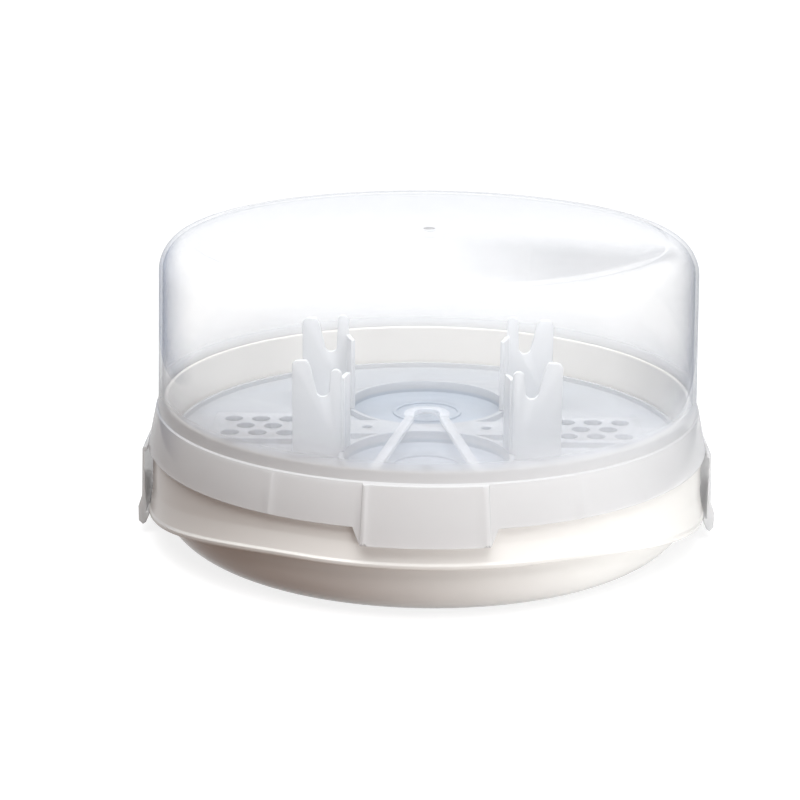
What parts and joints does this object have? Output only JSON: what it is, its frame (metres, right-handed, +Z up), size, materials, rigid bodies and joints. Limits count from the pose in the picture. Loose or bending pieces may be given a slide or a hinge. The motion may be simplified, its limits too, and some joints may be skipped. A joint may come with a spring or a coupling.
{
  "type": "microwave bottle sterilizer",
  "caption": "Round microwave steam sterilizer for baby bottles: water base, lift-out post tray, tongs, and a clear domed lid held by side clips.",
  "frame": {"origin": "centre of the base's flat foot, on the surface it stands on", "axes": "+Z up along the round body's axis, -Y to the front grip tab, +X to the right-hand clip as seen from the front"},
  "size_m": [0.2878, 0.2844, 0.1533],
  "materials": {
    "base_white": "warm white moulded polypropylene, satin gloss",
    "tray_frosted": "milky bluish translucent polypropylene, satin",
    "lid_clear": "clear polypropylene with a faint blue haze, glossy",
    "tongs_frosted": "milky translucent polypropylene, satin"
  },
  "bodies": {
    "base": {"base_bowl": "base_white", "base_rim": "base_white"},
    "tray": {"tray_deck": "tray_frosted", "post_front_left": "tray_frosted", "post_front_right": "tray_frosted", "post_back_left": "tray_frosted", "post_back_right": "tray_frosted"},
    "lid": {"lid_dome": "lid_clear", "lid_skirt": "lid_clear"},
    "left_clip": {"clip_left": "lid_clear"},
    "right_clip": {"clip_right": "lid_clear"},
    "tongs": {"tongs_bend": "tongs_frosted"},
    "left_arm": {"tongs_arm_left": "tongs_frosted"},
    "right_arm": {"tongs_arm_right": "tongs_frosted"}
  },
  "joints": [
    {"name": "tray_lift", "type": "slide", "parent": "base", "child": "tray", "axis": [0, 0, 1], "range_m": [0, 0.035]},
    {"name": "lid_lift", "type": "slide", "parent": "base", "child": "lid", "axis": [0, 0, 1], "range_m": [0, 0.2]},
    {"name": "clip_left_swing", "type": "hinge", "parent": "lid", "child": "left_clip", "pos_m": [-0.1399, 0, 0.0442], "axis": [0, 1, 0], "range_deg": [0, 30]},
    {"name": "clip_right_swing", "type": "hinge", "parent": "lid", "child": "right_clip", "pos_m": [0.1399, 0, 0.0442], "axis": [0, -1, 0], "range_deg": [0, 30]},
    {"name": "tongs_lift", "type": "slide", "parent": "tray", "child": "tongs", "axis": [0, 0, 1], "range_m": [0, 0.03]},
    {"name": "tongs_squeeze_left", "type": "hinge", "parent": "tongs", "child": "left_arm", "pos_m": [-0.009, 0.008, 0.0525], "axis": [0, 0, 1], "range_deg": [0, 12.5], "stiffness_Nm_per_rad": 0.1},
    {"name": "tongs_squeeze_right", "type": "hinge", "parent": "tongs", "child": "right_arm", "pos_m": [0.009, 0.008, 0.0525], "axis": [0, 0, 1], "range_deg": [-12.5, 0]}
  ],
  "couplings": [
    {"joint": "tongs_squeeze_right", "follows": "tongs_squeeze_left", "ratio": -1}
  ]
}
